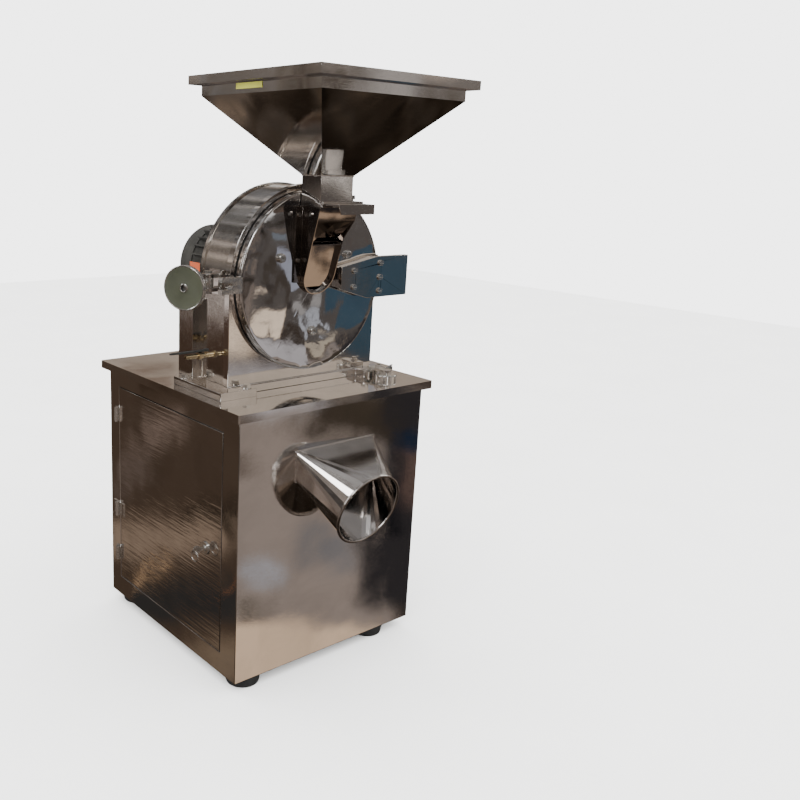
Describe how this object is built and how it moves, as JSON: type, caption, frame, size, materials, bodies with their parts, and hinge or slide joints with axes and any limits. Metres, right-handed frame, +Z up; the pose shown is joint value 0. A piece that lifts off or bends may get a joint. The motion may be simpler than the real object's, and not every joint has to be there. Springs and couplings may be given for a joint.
{
  "type": "hammer mill",
  "caption": "Cabinet-mounted hammer mill with a square hopper, sliding feed gate, hinged round grinding door with swing clamp, swinging hammers and a round discharge spout.",
  "frame": {"origin": "on the floor under the middle of the cabinet", "axes": "+Z up, -Y the side with the grinding door and the discharge spout, -X the side with the cabinet door"},
  "size_m": [0.617, 0.7025, 1.274],
  "materials": {
    "polished_steel": "polished stainless sheet",
    "machined_steel": "machined steel",
    "zinc_steel": "zinc plated",
    "black_rubber": "matt",
    "cast_steel": "cast",
    "brass": "satin",
    "black_plastic": "matt",
    "grey_paint": "semi-gloss",
    "motor_paint": "semi-gloss",
    "copper_winding": "varnished"
  },
  "bodies": {
    "cabinet": {"cabinet_frame": "cast_steel", "cabinet_shell": "polished_steel", "floor_panel": "polished_steel", "tabletop": "polished_steel", "rubber_feet": "black_rubber", "foot_bolts": "zinc_steel", "door_hinge_fixed_leaves": "zinc_steel", "door_hinge_pins": "zinc_steel", "discharge_funnel": "polished_steel", "discharge_spout": "polished_steel", "chamber_base": "polished_steel", "base_bolts": "zinc_steel", "hold_down_clamp": "polished_steel", "chamber_flange": "polished_steel", "chamber_wrapper": "polished_steel", "chamber_back_plate": "polished_steel", "screen_ring": "machined_steel", "door_gasket": "black_rubber", "water_valve": "brass", "hinge_bracket": "polished_steel", "pivot_pins": "zinc_steel", "clamp_bracket": "polished_steel", "shaft_seal": "black_rubber", "motor_stand": "polished_steel", "motor_frame": "motor_paint", "motor_endshields": "motor_paint", "motor_bearings": "machined_steel", "motor_stator": "copper_winding", "fan_cowl": "motor_paint", "terminal_box": "motor_paint"},
    "side_door": {"cabinet_door": "polished_steel", "door_hinge_moving_leaves": "zinc_steel", "lock_body": "zinc_steel"},
    "lock": {"lock_cam": "zinc_steel"},
    "lever": {"valve_lever": "black_plastic"},
    "grinding_door": {"door_disc": "polished_steel", "stator_ring": "machined_steel", "stator_bolts": "zinc_steel", "door_lug": "polished_steel", "hinge_arm": "polished_steel", "hinge_spacer": "polished_steel", "door_screws": "zinc_steel", "feed_chute": "polished_steel", "gate_frame": "polished_steel", "hopper_neck": "polished_steel", "hopper": "polished_steel"},
    "gate": {"feed_gate": "polished_steel"},
    "gate_lock": {"gate_lock_screw": "zinc_steel"},
    "clamp_bolt": {"swing_bolt": "machined_steel"},
    "clamp_nut": {"clamp_washer": "zinc_steel"},
    "wheel": {"handwheel": "grey_paint"},
    "rotor": {"motor_shaft": "machined_steel", "rotor_hub": "machined_steel", "rotor_fasteners": "zinc_steel", "motor_fan": "black_plastic"},
    "hammer_body_1": {"hammer_1": "machined_steel"},
    "hammer_body_2": {"hammer_2": "machined_steel"},
    "hammer_body_3": {"hammer_3": "machined_steel"},
    "hammer_body_4": {"hammer_4": "machined_steel"}
  },
  "joints": [
    {"name": "grinding_door_hinge", "type": "hinge", "parent": "cabinet", "child": "grinding_door", "pos_m": [0.24, -0.176, 0.86], "axis": [0, 0, 1], "range_deg": [0, 110]},
    {"name": "feed_gate_slide", "type": "slide", "parent": "grinding_door", "child": "gate", "axis": [0, -1, 0], "range_m": [0, 0.056]},
    {"name": "gate_lock_turn", "type": "hinge", "parent": "grinding_door", "child": "gate_lock", "pos_m": [0.054, -0.2235, 1.03], "axis": [0, 0, 1], "range_deg": [0, 100]},
    {"name": "swing_bolt_pivot", "type": "hinge", "parent": "cabinet", "child": "clamp_bolt", "pos_m": [-0.228, -0.105, 0.86], "axis": [0, 0, 1], "range_deg": [-35, 61]},
    {"name": "clamp_nut_travel", "type": "slide", "parent": "clamp_bolt", "child": "clamp_nut", "axis": [0.8746, 0.4848, 0], "range_m": [0, 0.0024]},
    {"name": "handwheel_turn", "type": "hinge", "parent": "clamp_nut", "child": "wheel", "pos_m": [-0.31546, -0.15348, 0.86], "axis": [0.8746, 0.4848, 0], "range_deg": [0, 490]},
    {"name": "side_door_hinge", "type": "hinge", "parent": "cabinet", "child": "side_door", "pos_m": [-0.2655, 0.231, 0.322], "axis": [0, 0, -1], "range_deg": [0, 110]},
    {"name": "side_door_lock", "type": "hinge", "parent": "side_door", "child": "lock", "pos_m": [-0.252, -0.152, 0.294], "axis": [1, 0, 0], "range_deg": [0, 90]},
    {"name": "water_valve_lever", "type": "hinge", "parent": "cabinet", "child": "lever", "pos_m": [-0.24, -0.118, 0.719], "axis": [0, 0, 1], "range_deg": [0, 90]},
    {"name": "rotor_spin", "type": "hinge", "parent": "cabinet", "child": "rotor", "pos_m": [0, 0, 0.857], "axis": [0, 1, 0], "continuous": true},
    {"name": "hammer_swing_1", "type": "hinge", "parent": "rotor", "child": "hammer_body_1", "pos_m": [0.06223, -0.092, 0.91922], "axis": [0, -1, 0], "range_deg": [-10, 150]},
    {"name": "hammer_swing_2", "type": "hinge", "parent": "rotor", "child": "hammer_body_2", "pos_m": [-0.06223, -0.092, 0.91922], "axis": [0, 1, 0], "range_deg": [-10, 150]},
    {"name": "hammer_swing_3", "type": "hinge", "parent": "rotor", "child": "hammer_body_3", "pos_m": [-0.06223, -0.092, 0.79478], "axis": [0, 1, 0], "range_deg": [-80, 80]},
    {"name": "hammer_swing_4", "type": "hinge", "parent": "rotor", "child": "hammer_body_4", "pos_m": [0.06223, -0.092, 0.79478], "axis": [0, -1, 0], "range_deg": [-80, 80]}
  ],
  "couplings": [
    {"joint": "clamp_nut_travel", "follows": "handwheel_turn", "m_per_rad": 0.00027852}
  ]
}
